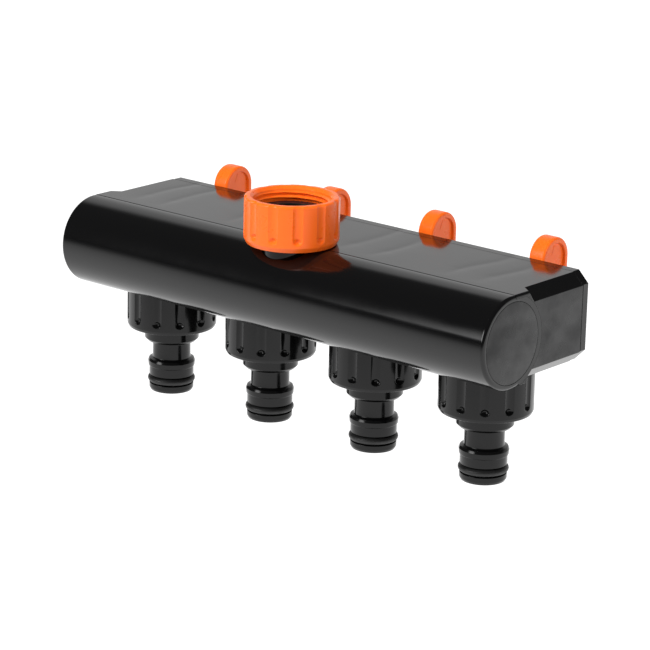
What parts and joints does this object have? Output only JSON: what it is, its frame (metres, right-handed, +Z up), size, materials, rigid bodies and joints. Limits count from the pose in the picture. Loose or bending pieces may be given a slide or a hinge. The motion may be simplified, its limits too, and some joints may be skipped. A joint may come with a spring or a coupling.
{
  "type": "hose splitter",
  "caption": "Hose splitter for a garden tap: a swivel inlet nut on a round water gallery, with lever valves over outlets that end in push-on hose nipples.",
  "frame": {"origin": "middle of the inlet washer's top face, where the tap's spout end seats", "axes": "+Z up, against the way the water comes in; +X along the gallery; +Y towards the valve levers"},
  "size_m": [0.1902, 0.0739, 0.0888],
  "materials": {
    "housing_black": "glossy moulded black plastic with faint sink marks",
    "fitting_black": "glossy moulded black plastic",
    "orange": "glossy moulded orange plastic",
    "rubber": "matt black rubber",
    "steel": "bright zinc-plated steel"
  },
  "bodies": {
    "housing": {"gallery_tube": "housing_black", "valve_housing": "housing_black", "valve_body_1": "housing_black", "valve_body_2": "housing_black", "valve_body_3": "housing_black", "valve_body_4": "housing_black", "back_cover": "housing_black", "end_cap_left": "housing_black", "end_cap_right": "housing_black", "cover_screw_1": "steel", "cover_screw_2": "steel", "cover_screw_3": "steel", "cover_screw_4": "steel", "cover_screw_5": "steel", "inlet_spigot": "fitting_black", "inlet_washer": "rubber"},
    "inlet_nut": {"inlet_nut": "orange"},
    "valve_1": {"valve_plug_1": "fitting_black", "plug_seal_1a": "rubber", "plug_seal_1b": "rubber", "lever_1": "orange", "lever_screw_1": "steel"},
    "nipple_1": {"nipple_1": "fitting_black", "nipple_seal_1": "rubber", "outlet_washer_1": "rubber"},
    "outlet_nut_1": {"outlet_nut_1": "fitting_black"},
    "valve_2": {"valve_plug_2": "fitting_black", "plug_seal_2a": "rubber", "plug_seal_2b": "rubber", "lever_2": "orange", "lever_screw_2": "steel"},
    "nipple_2": {"nipple_2": "fitting_black", "nipple_seal_2": "rubber", "outlet_washer_2": "rubber"},
    "outlet_nut_2": {"outlet_nut_2": "fitting_black"},
    "valve_3": {"valve_plug_3": "fitting_black", "plug_seal_3a": "rubber", "plug_seal_3b": "rubber", "lever_3": "orange", "lever_screw_3": "steel"},
    "nipple_3": {"nipple_3": "fitting_black", "nipple_seal_3": "rubber", "outlet_washer_3": "rubber"},
    "outlet_nut_3": {"outlet_nut_3": "fitting_black"},
    "valve_4": {"valve_plug_4": "fitting_black", "plug_seal_4a": "rubber", "plug_seal_4b": "rubber", "lever_4": "orange", "lever_screw_4": "steel"},
    "nipple_4": {"nipple_4": "fitting_black", "nipple_seal_4": "rubber", "outlet_washer_4": "rubber"},
    "outlet_nut_4": {"outlet_nut_4": "fitting_black"}
  },
  "joints": [
    {"name": "inlet_nut_spin", "type": "hinge", "parent": "housing", "child": "inlet_nut", "pos_m": [0, 0, 0], "axis": [0, 0, 1], "continuous": true},
    {"name": "valve_1_turn", "type": "hinge", "parent": "housing", "child": "valve_1", "pos_m": [-0.072, 0, -0.0278], "axis": [0, -1, 0], "range_deg": [0, 90]},
    {"name": "nipple_1_drop", "type": "slide", "parent": "housing", "child": "nipple_1", "axis": [0, 0, -1], "range_m": [0, 0.00726]},
    {"name": "outlet_nut_1_unscrew", "type": "hinge", "parent": "nipple_1", "child": "outlet_nut_1", "pos_m": [-0.072, 0.01793, -0.0518], "axis": [0, 0, -1], "range_deg": [0, 1440]},
    {"name": "valve_2_turn", "type": "hinge", "parent": "housing", "child": "valve_2", "pos_m": [-0.024, 0, -0.0278], "axis": [0, -1, 0], "range_deg": [0, 90]},
    {"name": "nipple_2_drop", "type": "slide", "parent": "housing", "child": "nipple_2", "axis": [0, 0, -1], "range_m": [0, 0.00726]},
    {"name": "outlet_nut_2_unscrew", "type": "hinge", "parent": "nipple_2", "child": "outlet_nut_2", "pos_m": [-0.024, 0.01793, -0.0518], "axis": [0, 0, -1], "range_deg": [0, 1440]},
    {"name": "valve_3_turn", "type": "hinge", "parent": "housing", "child": "valve_3", "pos_m": [0.024, 0, -0.0278], "axis": [0, -1, 0], "range_deg": [0, 90]},
    {"name": "nipple_3_drop", "type": "slide", "parent": "housing", "child": "nipple_3", "axis": [0, 0, -1], "range_m": [0, 0.00726]},
    {"name": "outlet_nut_3_unscrew", "type": "hinge", "parent": "nipple_3", "child": "outlet_nut_3", "pos_m": [0.024, 0.01793, -0.0518], "axis": [0, 0, -1], "range_deg": [0, 1440]},
    {"name": "valve_4_turn", "type": "hinge", "parent": "housing", "child": "valve_4", "pos_m": [0.072, 0, -0.0278], "axis": [0, -1, 0], "range_deg": [0, 90]},
    {"name": "nipple_4_drop", "type": "slide", "parent": "housing", "child": "nipple_4", "axis": [0, 0, -1], "range_m": [0, 0.00726]},
    {"name": "outlet_nut_4_unscrew", "type": "hinge", "parent": "nipple_4", "child": "outlet_nut_4", "pos_m": [0.072, 0.01793, -0.0518], "axis": [0, 0, -1], "range_deg": [0, 1440]}
  ],
  "couplings": [
    {"joint": "nipple_1_drop", "follows": "outlet_nut_1_unscrew", "m_per_rad": 0.00028871},
    {"joint": "nipple_2_drop", "follows": "outlet_nut_2_unscrew", "m_per_rad": 0.00028871},
    {"joint": "nipple_3_drop", "follows": "outlet_nut_3_unscrew", "m_per_rad": 0.00028871},
    {"joint": "nipple_4_drop", "follows": "outlet_nut_4_unscrew", "m_per_rad": 0.00028871}
  ]
}
